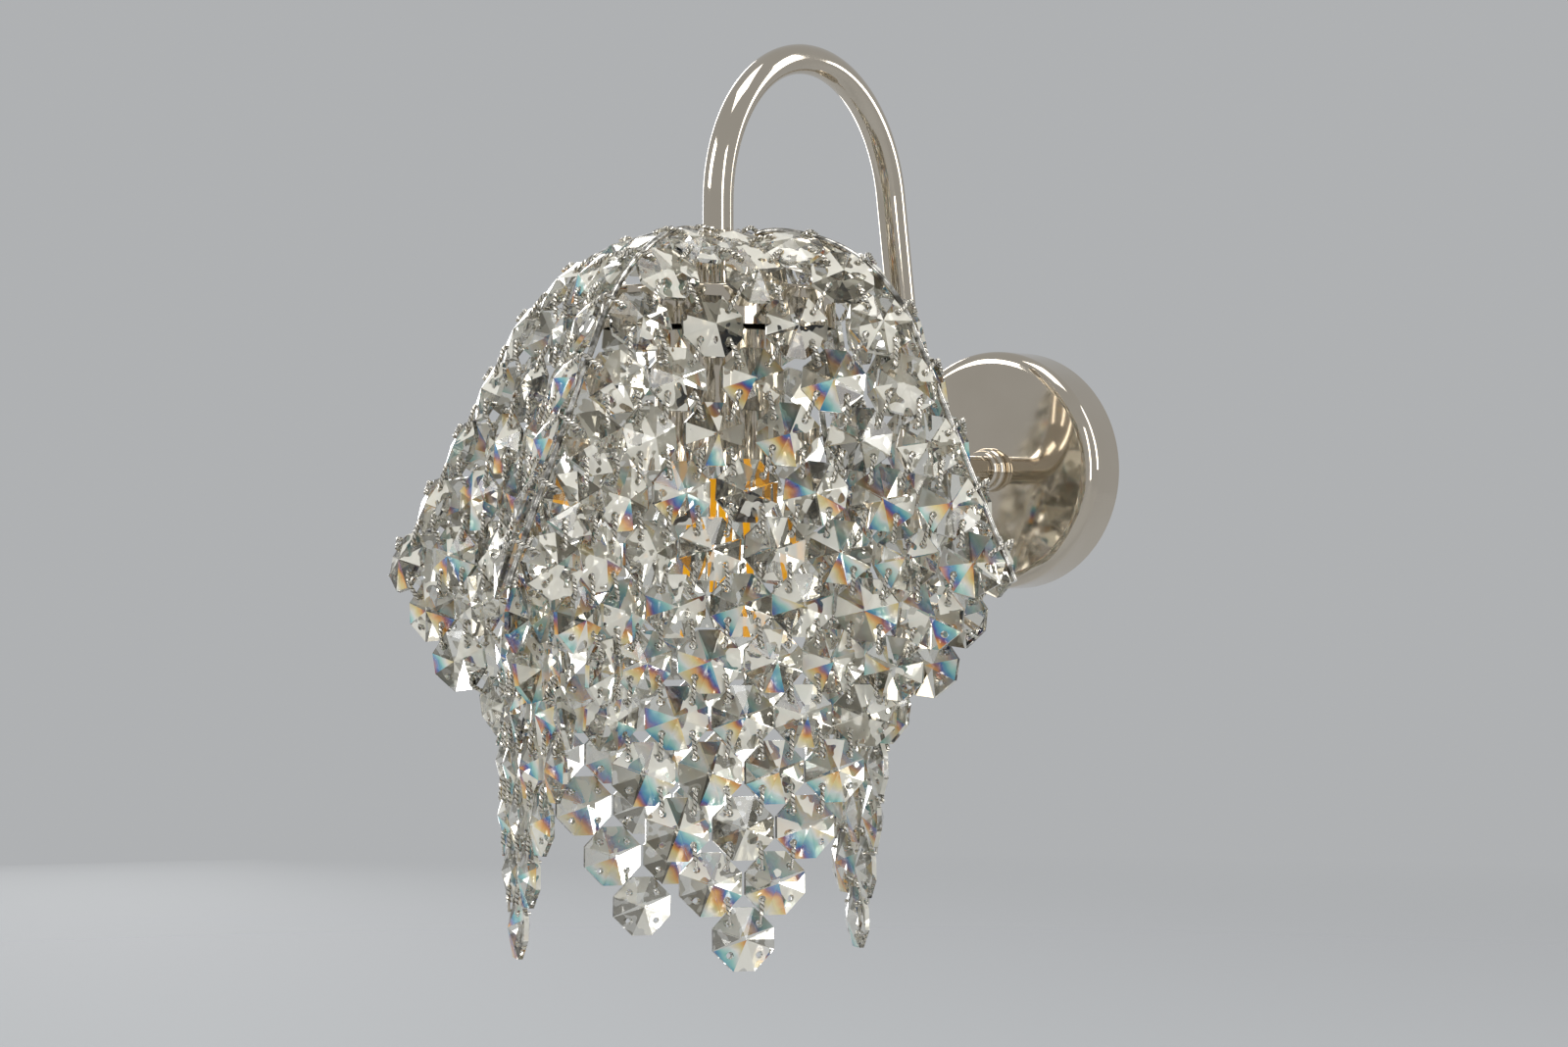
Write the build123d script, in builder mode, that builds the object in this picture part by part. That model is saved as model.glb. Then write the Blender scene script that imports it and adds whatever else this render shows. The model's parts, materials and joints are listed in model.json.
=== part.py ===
from build123d import *
import math
import os

os.makedirs("parts", exist_ok=True)

# A wall sconce: a net of clipped cut crystals draped over four wire ribs, on a bent tube arm.
# All sizes are in millimetres. The origin is the centre of the wall plate's rear rim, on the
# wall. +Z is up, +Y goes into the wall and -Y into the room.

# ---------------------------------------------------------------- clearances
running_gap = 0.1          # radial gap of a tube or pin in its hole
thread_gap = 0.05          # radial gap of a screw in its thread
seat_gap = 0.3             # gap of a part that lies loosely in its place

# ---------------------------------------------------------------- wall plate
plate_radius = 42.5
plate_depth = 19.0
plate_wall = 1.2
plate_edge_radius = 4.5
plate_lead_hole = 8.4

bracket_width = 18.0
bracket_thickness = 1.6
bracket_tab_depth = 12.0
bracket_tab_thickness = 3.0
bracket_hole_spacing = 54.0
bracket_slot_width = 4.6
bracket_slot_length = 10.0
bracket_lead_hole = 14.0

grub_diameter = 4.0
grub_length = 6.0
grub_socket = 2.0
grub_socket_depth = 2.2
grub_height = 6.5          # from the wall to the grub screws

terminal_length = 24.0
terminal_width = 11.0
terminal_height = 10.0
terminal_poles = 3
terminal_bore = 3.6
terminal_sleeve_wall = 0.6
terminal_offset = 23.0     # from the plate's centre to the terminal block's centre

earth_screw_diameter = 4.0
earth_head_diameter = 7.6
earth_head_height = 2.4
earth_screw_length = 7.0
earth_screw_place = 15.0   # from the plate's centre, below it

# ---------------------------------------------------------------- arm
reach = 184.0              # from the wall to the axis of the shade
tube_diameter = 10.0
tube_bore = 8.1
arch_radius = 51.0         # of the tube's centre line
arch_centre_z = 85.0
leg_lean = 10.0            # degrees by which the rear leg leans to the wall
elbow_radius = 25.0

collar_length = 6.4
collar_large_radius = 7.8
collar_small_radius = 6.9
collar_groove_radius = 6.0

nipple_diameter = 8.0
nipple_bore = 6.0
nipple_grip = 12.0         # length of a nipple inside the tube
nut_across_flats = 13.0
nut_height = 4.0
washer_diameter = 18.0
washer_thickness = 1.2
cable_diameter = 4.8
cable_tail = 2.0           # length of the cable past each nipple

# ---------------------------------------------------------------- drum, cup and lampholder
drum_radius = 38.0
drum_depth = 13.0
drum_top_z = 57.0
drum_wall = 1.0
drum_edge_radius = 1.5

cup_radius = 20.5
cup_length = 56.0
cup_wall = 1.0
cup_edge_radius = 2.0

holder_radius = 17.5
holder_length = 48.0
holder_floor = 3.5
shell_radius = 14.0        # outside of the screw shell
shell_wall = 0.5
shell_length = 24.0
contact_disc_thickness = 3.0
contact_width = 6.0
contact_thickness = 0.8

# ---------------------------------------------------------------- bulb
cap_radius = 13.1
cap_length = 22.0
cap_wall = 0.4
insulator_length = 2.6
insulator_top_radius = 6.0
tip_radius = 4.5
tip_length = 1.6
bulb_length = 80.0         # of the glass below the cap
bulb_radius = 30.0
bulb_neck_radius = 15.0
bulb_neck_length = 10.0
glass_wall = 0.9
stem_radius = 3.2
stem_seat = 1.5            # length of the stem's rim that is fused to the glass
stem_length = 47.0
filament_count = 4
filament_radius = 1.15
filament_length = 37.0
filament_circle_top = 8.0
filament_circle_bottom = 11.0
filament_top = 17.0        # below the cap
filament_turn = -45.0
support_wire_radius = 0.3

# ---------------------------------------------------------------- wire frame
rib_diameter = 2.0
rib_sink = 0.5             # of a rib's axis below the ridge of the net
rib_rise_angle = 54.0      # degrees by which a rib climbs out of the hub
rib_rise_radius = 8.0
rib_inner_radius = 6.4     # from the tube's axis to the end of a rib
hub_radius = 8.5
hub_height = 4.0
hub_sleeve_radius = 7.0
hub_screw_diameter = 3.0

ridge_top_z = 75.5
ridge_flat = 18.0          # level run of the ridge from the axis
ridge_bend_radius = 62.0
ridge_bend_angle = 62.0
ridge_leg = 90.0
shade_turn = 8.0           # degrees from the wall's normal to the nearest rib
shade_lean_x = -7.4        # sway of the rib tips from the axis
shade_lean_y = -5.2
sway_top_z = 68.0          # the shade hangs straight above this height

# ---------------------------------------------------------------- crystals and clips
crystal_across = 19.8
crystal_flat = 6.9         # length of a side between two cut corners
crystal_girdle = 1.5
crystal_thickness = 7.4
hole_circle = 6.9          # from a crystal's centre to its holes
hole_throat = 1.5
hole_mouth = 2.5

side_rows = 8              # crystals from the centre of the net to its edge
ridge_first = 12.0         # from the axis to the first pair of crystals on a rib
ridge_pitch = 21.5
ridge_half_gap = 11.7      # from the top of a rib to the crystals beside it
ridge_side_top = 10.9      # least distance of the first of them from the rib's plane
ridge_side_tip = 8.0       # and of the last
ridge_pull = 1.7           # by which a rib's clip turns a crystal more than the next one does
drum_rest_gap = 1.4        # between the drum and the crystals that lie on it
dome_pitch = 21.4
hem_pitch = 20.1
dome_rows = 4              # rows that keep the whole dome pitch
row_spacing = 20.9         # least distance of crystals side by side
settle_steps = 2600
settle_drop = 0.05

clip_wire = 0.9
clip_tail = 0.8            # of a clip's end past the back of a crystal
clip_stand = 0.15          # of a clip above a crystal's face
clip_reach = 4.0           # most by which a clip's middle is raised

skirt_row = 8              # last row on the ribs
pivot_row = 13             # last row that hangs still

# ---------------------------------------------------------------- worked-out places
axis_y = -reach
plate_inner_radius = plate_radius - plate_wall
tube_radius = tube_diameter / 2
nipple_radius = nipple_diameter / 2
washer_z = drum_top_z
tube_end_z = drum_top_z + washer_thickness
cup_top_z = drum_top_z - drum_wall
holder_top_z = cup_top_z - cup_wall
holder_floor_z = holder_top_z - holder_floor
nut_bottom_z = holder_floor_z - nut_height
holder_bottom_z = holder_top_z - holder_length
shell_bottom_z = holder_bottom_z + 6.0
shell_top_z = shell_bottom_z + shell_length
cap_bottom_z = shell_bottom_z - 0.5
cap_top_z = cap_bottom_z + cap_length
tip_top_z = cap_top_z + insulator_length + tip_length
contact_z = tip_top_z + seat_gap
disc_z = contact_z + contact_thickness
hole_half_thickness = (
    crystal_girdle / 2
    + (crystal_thickness - crystal_girdle) / 2 * (1 - hole_circle / (crystal_across / 2))
)
rib_radius = rib_diameter / 2
rib_rise = math.radians(rib_rise_angle)
rib_flat_z = ridge_top_z - rib_sink
rib_rise_start_r = ridge_flat - rib_rise_radius * math.sin(rib_rise)
rib_rise_start_z = rib_flat_z - rib_rise_radius * (1 - math.cos(rib_rise))
hub_z = rib_rise_start_z - (rib_rise_start_r - rib_inner_radius) * math.tan(rib_rise)

quarter_names = ["front_right", "back_right", "back_left", "front_left"]


# ---------------------------------------------------------------- shape of the net
def ridge_point(distance):
    """Radius and height of the net's ridge, a given distance from the axis along it."""
    bend_length = ridge_bend_radius * math.radians(ridge_bend_angle)
    if distance <= ridge_flat:
        return distance, ridge_top_z
    angle = min(distance - ridge_flat, bend_length) / ridge_bend_radius
    r = ridge_flat + ridge_bend_radius * math.sin(angle)
    z = ridge_top_z - ridge_bend_radius * (1 - math.cos(angle))
    straight = max(0.0, distance - ridge_flat - bend_length)
    return r + straight * math.cos(angle), z - straight * math.sin(angle)


def link_length(row):
    """Distance of two clipped crystals: wide in the dome and narrower towards the hem."""
    share = (side_rows + 1 - row) / (side_rows + 1 - dome_rows)
    return hem_pitch + (dome_pitch - hem_pitch) * max(0.0, min(1.0, share))


def pull(first, second, least, most):
    """Move two points along their line until their distance lies between two limits."""
    dx = second[0] - first[0]
    dy = second[1] - first[1]
    dz = second[2] - first[2]
    distance = math.sqrt(dx * dx + dy * dy + dz * dz)
    excess = distance - min(max(distance, least), most)
    if excess == 0.0:
        return
    share = 0.5 * excess / distance
    first[0] += dx * share
    first[1] += dy * share
    first[2] += dz * share
    second[0] -= dx * share
    second[1] -= dy * share
    second[2] -= dz * share


def hold(point, pin, length):
    """Bring a point to a set distance from a pin."""
    dx = point[0] - pin[0]
    dy = point[1] - pin[1]
    dz = point[2] - pin[2]
    share = length / math.sqrt(dx * dx + dy * dy + dz * dz)
    point[0] = pin[0] + dx * share
    point[1] = pin[1] + dy * share
    point[2] = pin[2] + dz * share


def settle_quarter():
    """Let a quarter of the net sink until its clips, ribs and drum hold it.

    The first rib lies along +X and the second along +Y. A point is a crystal's centre.
    """
    places = range(side_rows)
    ridge = [ridge_point(ridge_first + ridge_pitch * step) for step in places]
    last_r, last_z = ridge[-1]
    net = []
    for a in places:
        column = []
        for b in places:
            r, z = ridge[min(a + b, side_rows - 1)]
            angle = math.pi / 2 * (a + 0.5) / (a + b + 1)
            fold = 1 - 0.45 * math.sin(2 * angle) * min(1.0, (a + b + 1) / side_rows)
            z -= 0.8 * hem_pitch * max(0, a + b + 1 - side_rows)
            column.append([r * fold * math.sin(angle), r * fold * math.cos(angle), z])
        net.append(column)
    rest_radius = drum_radius + crystal_thickness / 2 + drum_rest_gap
    rest_z = drum_top_z + crystal_thickness / 2 + drum_rest_gap
    side_step = (ridge_side_top - ridge_side_tip) / (side_rows - 1)
    for step in range(settle_steps):
        for a in places:
            for b in places:
                net[a][b][2] -= settle_drop
        for a in places:
            for b in places:
                length = link_length(a + b + 1.5)
                if a + 1 < side_rows:
                    pull(net[a][b], net[a + 1][b], length - seat_gap, length)
                if b + 1 < side_rows:
                    pull(net[a][b], net[a][b + 1], length - seat_gap, length)
                if a + 1 < side_rows and b + 1 < side_rows:
                    pull(net[a][b], net[a + 1][b + 1], row_spacing, reach)
                    pull(net[a + 1][b], net[a][b + 1], row_spacing, reach)
        for k in places:
            r, z = ridge[k]
            hold(net[0][k], (0.0, r, z), ridge_half_gap)
            hold(net[k][0], (r, 0.0, z), ridge_half_gap)
        for a in places:
            for b in range(a, side_rows):
                one = net[a][b]
                two = net[b][a]
                x = max((one[0] + two[1]) / 2, ridge_side_top - side_step * b)
                y = max((one[1] + two[0]) / 2, ridge_side_top - side_step * a)
                z = (one[2] + two[2]) / 2
                r = math.hypot(x, y)
                beside = rest_radius - r
                above = rest_z - z
                if beside > 0 and above > 0 and z > drum_top_z - drum_depth:
                    if above < beside:
                        z = rest_z
                    else:
                        x *= rest_radius / r
                        y *= rest_radius / r
                net[a][b] = [x, y, z]
                net[b][a] = [y, x, z]
    return net


def place_point(x, y, z, quarter):
    """Turn a point of the settled quarter into its quarter of the shade, and sway it."""
    angle = math.radians(shade_turn - 90 + 90 * quarter)
    tip_z = ridge_point(ridge_flat + ridge_bend_radius * math.radians(ridge_bend_angle) + ridge_leg)[1]
    sway = max(0.0, min(1.0, (sway_top_z - z) / (sway_top_z - tip_z)))
    return Vector(
        x * math.cos(angle) - y * math.sin(angle) + shade_lean_x * sway,
        x * math.sin(angle) + y * math.cos(angle) + shade_lean_y * sway + axis_y,
        z,
    )


settled = settle_quarter()


def centre(quarter, a, b):
    """Centre of the crystal that is a places from the second rib and b from the first."""
    return place_point(*settled[a][b], quarter)


def ridge_spot(quarter, k):
    """Place on the top of a rib where clip k crosses it."""
    r, z = ridge_point(ridge_first + ridge_pitch * k)
    return place_point(r, 0.0, z, quarter)


def away(quarter, a, b, step_a, step_b):
    """Direction through a crystal, away from the net's centre, midway between its links."""
    here = centre(quarter, a, b)
    if min(a - step_a, b - step_b) >= 0:
        direction = (here - centre(quarter, a - step_a, b - step_b)).normalized()
    elif step_a == 1:
        direction = (here - ridge_spot((quarter + 1) % 4, b)).normalized() * ridge_pull
    else:
        direction = (here - ridge_spot(quarter, a)).normalized() * ridge_pull
    if max(a + step_a, b + step_b) < side_rows:
        direction += (centre(quarter, a + step_a, b + step_b) - here).normalized()
    return direction.normalized()


def crystal_plane(quarter, a, b):
    """Plane of a crystal: X along its row, Y down the net and Z outwards."""
    along_a = away(quarter, a, b, 1, 0)
    along_b = away(quarter, a, b, 0, 1)
    down = (along_a + along_b).normalized()
    across = (along_a - along_b).normalized()
    return Plane(origin=centre(quarter, a, b), x_dir=across, z_dir=across.cross(down))


def hole(quarter, a, b, step_a, step_b):
    """Plane of a crystal and the middle of its hole that faces a neighbour."""
    plane = crystal_plane(quarter, a, b)
    side = hole_circle / math.sqrt(2)
    spot = plane.from_local_coords((side * (step_a - step_b), side * (step_a + step_b), 0))
    return plane, spot


def wire_gap(plane, spot):
    """Room between a clip's wire with its axis through a spot and one crystal's faces."""
    local = plane.to_local_coords(spot)
    x = abs(local.X)
    y = abs(local.Y)
    half = crystal_across / 2
    reach_out = max(x, y, (x + y) * crystal_across / (crystal_across + crystal_flat))
    rise = (crystal_thickness - crystal_girdle) / 2
    slant = math.hypot(half, rise)
    above = abs(local.Z) - crystal_girdle / 2 - rise * (1 - reach_out / half)
    return max(reach_out - half, above * half / slant) - clip_wire / 2


def clip_points(first, second, ridge=None):
    """Points along a clip's wire, through one hole, over both edges and through the next.

    The middle is raised in small steps until the wire clears the faces of both crystals.
    """
    low = hole_half_thickness + clip_tail
    high = hole_half_thickness + clip_stand + clip_wire / 2
    plane, spot = first
    next_plane, next_spot = second
    over = spot + plane.z_dir * high
    next_over = next_spot + next_plane.z_dir * high
    outward = (plane.z_dir + next_plane.z_dir).normalized()
    middle = (over + next_over) / 2
    start = middle if ridge is None else ridge
    lift = 0.0
    room = -1.0
    while room < clip_stand and lift < clip_reach:
        peak = start + outward * lift
        room = clip_reach
        for share in (0.1, 0.2, 0.35, 0.5, 0.65, 0.8, 1.0):
            for end in (over, next_over):
                place = end + (peak - end) * share
                room = min(room, wire_gap(plane, place), wire_gap(next_plane, place))
        lift += 0.1
    bend = [peak] if (peak - middle).length > 0.05 else []
    return (
        [spot - plane.z_dir * low, over]
        + bend
        + [next_over, next_spot - next_plane.z_dir * low]
    )


def make_clip(points):
    """One bent wire clip."""
    with BuildPart() as clip:
        with BuildLine():
            Polyline(*points)
        with BuildSketch(Plane(origin=points[0], z_dir=points[1] - points[0])):
            Circle(clip_wire / 2)
        sweep(transition=Transition.RIGHT)
    return clip.part


def quarter_cells(first_row, last_row):
    """Places of the crystals of some rows. Row 1 is the crystal beside the axis."""
    cells = []
    for a in range(side_rows):
        for b in range(side_rows):
            if first_row <= a + b + 1 <= last_row:
                cells.append((a, b))
    return cells


def quarter_wires(quarter, first_row, last_row):
    """Wires of the clips that join each crystal of some rows to the two below it."""
    wires = []
    for a, b in quarter_cells(first_row, last_row):
        for step_a, step_b in ((1, 0), (0, 1)):
            next_a = a + step_a
            next_b = b + step_b
            if max(next_a, next_b) < side_rows:
                upper = hole(quarter, a, b, step_a, step_b)
                lower = hole(quarter, next_a, next_b, -step_a, -step_b)
                wires.append(clip_points(upper, lower))
    return wires


def ridge_wire(quarter, k):
    """Wire of the clip that joins the crystals on both sides of a rib, over the rib."""
    one = hole(quarter, 0, k, -1, 0)
    two = hole((quarter + 1) % 4, k, 0, 0, -1)
    distance = ridge_first + ridge_pitch * k
    r, z = ridge_point(distance)
    r_next, z_next = ridge_point(distance + 1.0)
    lift = rib_radius - rib_sink + clip_stand + clip_wire / 2
    ridge = place_point(0.0, r - (z_next - z) * lift, z + (r_next - r) * lift, quarter)
    return clip_points(one, two, ridge)


# ---------------------------------------------------------------- wall plate and bracket
with BuildPart() as wall_plate:
    with BuildSketch(Plane.XZ):
        Circle(plate_radius)
    extrude(amount=plate_depth)
    fillet(wall_plate.edges().group_by(Axis.Y)[0], radius=plate_edge_radius)
    offset(amount=-plate_wall, openings=wall_plate.faces().sort_by(Axis.Y)[-1])
    with Locations(Plane.XZ.offset(plate_depth)):
        Hole(radius=plate_lead_hole / 2)
    with Locations((0, -grub_height, 0)):
        Cylinder(
            radius=grub_diameter / 2 + seat_gap / 2,
            height=2 * plate_radius + 2,
            mode=Mode.SUBTRACT,
        )

tab_outer_z = plate_inner_radius - seat_gap - bracket_width**2 / (8 * plate_inner_radius)

with BuildPart() as wall_bracket:
    with BuildSketch(Plane.XZ):
        Rectangle(bracket_width, 2 * tab_outer_z)
    extrude(amount=bracket_thickness)
    with BuildSketch(Plane.XZ.offset(bracket_thickness)):
        with Locations(
            (0, tab_outer_z - bracket_tab_thickness / 2),
            (0, bracket_tab_thickness / 2 - tab_outer_z),
        ):
            Rectangle(bracket_width, bracket_tab_thickness)
    extrude(amount=bracket_tab_depth - bracket_thickness)
    with BuildSketch(Plane.XZ):
        Circle(bracket_lead_hole / 2)
        with Locations((0, bracket_hole_spacing / 2), (0, -bracket_hole_spacing / 2)):
            SlotOverall(bracket_slot_length, bracket_slot_width, rotation=90)
        with Locations((0, -earth_screw_place)):
            Circle(earth_screw_diameter / 2 + thread_gap)
    extrude(amount=bracket_thickness, mode=Mode.SUBTRACT)
    with Locations((0, -grub_height, 0)):
        Cylinder(
            radius=grub_diameter / 2 + thread_gap,
            height=2 * plate_radius,
            mode=Mode.SUBTRACT,
        )

with BuildPart() as plate_grub_screws:
    for side in (1, -1):
        outer_z = side * (plate_radius - seat_gap)
        with BuildSketch(Plane(origin=(0, -grub_height, outer_z), z_dir=(0, 0, -side))):
            Circle(grub_diameter / 2)
        extrude(amount=grub_length)
        with BuildSketch(Plane(origin=(0, -grub_height, outer_z), z_dir=(0, 0, -side))):
            RegularPolygon(radius=grub_socket / 2, side_count=6, major_radius=False)
        extrude(amount=grub_socket_depth, mode=Mode.SUBTRACT)

with BuildPart() as earth_screw:
    head_y = bracket_thickness
    with BuildSketch(Plane.XZ.offset(head_y)):
        with Locations((0, -earth_screw_place)):
            Circle(earth_head_diameter / 2)
    extrude(amount=earth_head_height)
    fillet(earth_screw.edges().group_by(Axis.Y)[0], radius=0.6)
    with BuildSketch(Plane.XZ.offset(head_y + earth_head_height)):
        with Locations((0, -earth_screw_place)):
            Rectangle(earth_head_diameter, 1.0)
    extrude(amount=-1.2, mode=Mode.SUBTRACT)
    with BuildSketch(Plane.XZ.offset(0)):
        with Locations((0, -earth_screw_place)):
            Circle(earth_screw_diameter / 2)
    extrude(amount=head_y)

# ---------------------------------------------------------------- terminal block
terminal_pitch = terminal_length / terminal_poles
terminal_spots = [
    ((pole - (terminal_poles - 1) / 2) * terminal_pitch, 0) for pole in range(terminal_poles)
]
terminal_plane = Plane(
    origin=(terminal_offset, plate_wall - plate_depth + terminal_height / 2, 0),
    x_dir=(0, 0, 1),
    z_dir=(1, 0, 0),
)

with BuildPart() as terminal_block:
    with BuildSketch(terminal_plane.offset(-terminal_width / 2)):
        Rectangle(terminal_length, terminal_height)
        with Locations(*terminal_spots):
            Circle(terminal_bore / 2 + terminal_sleeve_wall + thread_gap, mode=Mode.SUBTRACT)
    extrude(amount=terminal_width)
    fillet(terminal_block.edges().filter_by(Axis.X).group_by(Axis.Y)[-1], radius=1.2)

with BuildPart() as terminal_sleeves:
    with BuildSketch(terminal_plane.offset(-terminal_width / 2 + 0.5)):
        with Locations(*terminal_spots):
            Circle(terminal_bore / 2 + terminal_sleeve_wall)
            Circle(terminal_bore / 2, mode=Mode.SUBTRACT)
    extrude(amount=terminal_width - 1.0)

# ---------------------------------------------------------------- arm
lean = math.radians(leg_lean)
leg_length = (
    arch_centre_z + arch_radius * math.sin(lean) - elbow_radius * (1 - math.sin(lean))
) / math.cos(lean)

with BuildLine(Plane.YZ) as arm_path:
    rise = Line((axis_y, tube_end_z), (axis_y, arch_centre_z))
    arch = JernArc(start=rise @ 1, tangent=rise % 1, radius=arch_radius, arc_size=leg_lean - 180)
    leg = Line(arch @ 1, arch @ 1 + (arch % 1) * leg_length)
    elbow = JernArc(start=leg @ 1, tangent=leg % 1, radius=elbow_radius, arc_size=90 - leg_lean)
    Line(elbow @ 1, Vector(0, -plate_depth, 0))

with BuildPart() as arm_tube:
    add(arm_path.line)
    with BuildSketch(Plane(origin=(0, axis_y, tube_end_z), z_dir=(0, 0, 1))):
        Circle(tube_radius)
        Circle(tube_bore / 2, mode=Mode.SUBTRACT)
    sweep()

cable_lower_z = nut_bottom_z - 1.0 - cable_tail
nipple_wall_end_y = -plate_depth + plate_wall + washer_thickness + nut_height + 2.0

with BuildLine(Plane.YZ) as cable_path:
    Line((axis_y, cable_lower_z), (axis_y, arch_centre_z))
    arch_run = JernArc(
        start=(axis_y, arch_centre_z), tangent=(0, 1), radius=arch_radius, arc_size=leg_lean - 180
    )
    leg_run = Line(arch_run @ 1, arch_run @ 1 + (arch_run % 1) * leg_length)
    elbow_run = JernArc(
        start=leg_run @ 1, tangent=leg_run % 1, radius=elbow_radius, arc_size=90 - leg_lean
    )
    Line(elbow_run @ 1, Vector(0, nipple_wall_end_y + cable_tail, 0))

with BuildPart() as inner_cable:
    add(cable_path.line)
    with BuildSketch(Plane(origin=(0, axis_y, cable_lower_z), z_dir=(0, 0, 1))):
        Circle(cable_diameter / 2)
    sweep()

with BuildPart() as arm_collar:
    with BuildSketch(Plane.XY):
        with BuildLine():
            bore = tube_radius + running_gap
            foot = -plate_depth
            middle = foot - collar_length * 0.54
            nose = foot - collar_length
            Polyline((bore, nose), (bore, foot), (collar_groove_radius, foot))
            ThreePointArc(
                (collar_groove_radius, foot),
                (collar_large_radius, (foot + middle) / 2),
                (collar_groove_radius, middle),
            )
            ThreePointArc(
                (collar_groove_radius, middle),
                (collar_small_radius, (middle + nose) / 2),
                (collar_groove_radius, nose),
            )
            Line((collar_groove_radius, nose), (bore, nose))
        make_face()
    revolve(axis=Axis.Y)

with BuildPart() as plate_nipple:
    with BuildSketch(Plane.XZ.offset(-nipple_wall_end_y)):
        Circle(nipple_radius)
        Circle(nipple_bore / 2, mode=Mode.SUBTRACT)
    extrude(amount=plate_depth + nipple_wall_end_y + nipple_grip)

with BuildPart() as plate_washer:
    with BuildSketch(Plane.XZ.offset(plate_depth - plate_wall - washer_thickness)):
        Circle(washer_diameter / 2)
        Circle(nipple_radius + running_gap, mode=Mode.SUBTRACT)
    extrude(amount=washer_thickness)

with BuildPart() as plate_nut:
    with BuildSketch(Plane.XZ.offset(plate_depth - plate_wall - washer_thickness - nut_height)):
        RegularPolygon(radius=nut_across_flats / 2, side_count=6, major_radius=False)
        Circle(nipple_radius + thread_gap, mode=Mode.SUBTRACT)
    extrude(amount=nut_height)

# ---------------------------------------------------------------- drum, cup and lampholder
axis_point = (0, axis_y)


def at_axis(z):
    """Level plane with its origin on the axis of the shade."""
    return Plane(origin=(0, axis_y, z))


with BuildPart() as drum_plate:
    with BuildSketch(at_axis(drum_top_z - drum_depth)):
        Circle(drum_radius)
    extrude(amount=drum_depth)
    fillet(drum_plate.edges().group_by(Axis.Z)[-1], radius=drum_edge_radius)
    offset(amount=-drum_wall, openings=drum_plate.faces().sort_by(Axis.Z)[0])
    with Locations(at_axis(drum_top_z)):
        Hole(radius=nipple_radius + running_gap)

with BuildPart() as holder_cup:
    with BuildSketch(at_axis(cup_top_z - cup_length)):
        Circle(cup_radius)
    extrude(amount=cup_length)
    fillet(holder_cup.edges().group_by(Axis.Z)[-1], radius=cup_edge_radius)
    offset(amount=-cup_wall, openings=holder_cup.faces().sort_by(Axis.Z)[0])
    with Locations(at_axis(cup_top_z)):
        Hole(radius=nipple_radius + running_gap)

with BuildPart() as lamp_washer:
    with BuildSketch(at_axis(washer_z)):
        Circle(washer_diameter / 2)
        Circle(nipple_radius + running_gap, mode=Mode.SUBTRACT)
    extrude(amount=washer_thickness)

with BuildPart() as lamp_nipple:
    with BuildSketch(at_axis(nut_bottom_z - 1.0)):
        Circle(nipple_radius)
        Circle(nipple_bore / 2, mode=Mode.SUBTRACT)
    extrude(amount=tube_end_z + nipple_grip - nut_bottom_z + 1.0)

with BuildPart() as lamp_nut:
    with BuildSketch(at_axis(nut_bottom_z)):
        RegularPolygon(radius=nut_across_flats / 2, side_count=6, major_radius=False)
        Circle(nipple_radius + thread_gap, mode=Mode.SUBTRACT)
    extrude(amount=nut_height)

with BuildPart() as lampholder_body:
    with BuildSketch(at_axis(holder_bottom_z)):
        Circle(holder_radius)
        Circle(shell_radius + running_gap, mode=Mode.SUBTRACT)
    extrude(amount=holder_length - holder_floor)
    with BuildSketch(at_axis(holder_floor_z)):
        Circle(holder_radius)
        Circle(nipple_radius + running_gap, mode=Mode.SUBTRACT)
    extrude(amount=holder_floor)
    chamfer(lampholder_body.edges().group_by(Axis.Z)[0].sort_by(SortBy.LENGTH)[-1], length=1.0)

with BuildPart() as holder_screw_shell:
    with BuildSketch(at_axis(shell_bottom_z)):
        Circle(shell_radius)
        Circle(shell_radius - shell_wall, mode=Mode.SUBTRACT)
    extrude(amount=shell_length)

with BuildPart() as holder_contact_disc:
    with BuildSketch(at_axis(disc_z)):
        Circle(shell_radius)
        with GridLocations(shell_radius, 1, 2, 1):
            Circle(1.6, mode=Mode.SUBTRACT)
    extrude(amount=contact_disc_thickness)

with BuildPart() as holder_centre_contact:
    with BuildSketch(at_axis(contact_z)):
        SlotOverall(contact_width * 2, contact_width)
    extrude(amount=contact_thickness)

# ---------------------------------------------------------------- bulb
glass_top_z = cap_bottom_z + 4.0
glass_end_z = cap_bottom_z - bulb_length
glass_widest_z = glass_end_z + bulb_radius
neck_end_z = cap_bottom_z - bulb_neck_length
neck_grip_radius = cap_radius - cap_wall - running_gap


def bulb_outline(inset):
    """Half outline of the glass in the XZ plane, moved inwards by an inset."""
    with BuildLine() as outline:
        neck = Line((neck_grip_radius - inset, glass_top_z), (neck_grip_radius - inset, cap_bottom_z - 0.5))
        shoulder = Line(neck @ 1, (bulb_neck_radius - inset, neck_end_z))
        flare = TangentArc(shoulder @ 1, (bulb_radius - inset, glass_widest_z), tangent=(0.25, -1))
        RadiusArc(flare @ 1, (0, glass_end_z + inset), bulb_radius - inset)
    return outline.line


with BuildPart() as bulb_glass:
    with BuildSketch(Plane(origin=(0, axis_y, 0), x_dir=(1, 0, 0), z_dir=(0, -1, 0))):
        with BuildLine():
            add(bulb_outline(0.0))
            add(bulb_outline(glass_wall))
            Line((neck_grip_radius, glass_top_z), (neck_grip_radius - glass_wall, glass_top_z))
            Line((0, glass_end_z), (0, glass_end_z + glass_wall))
        make_face()
    revolve(axis=Axis((0, axis_y, 0), (0, 0, 1)))

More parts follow.
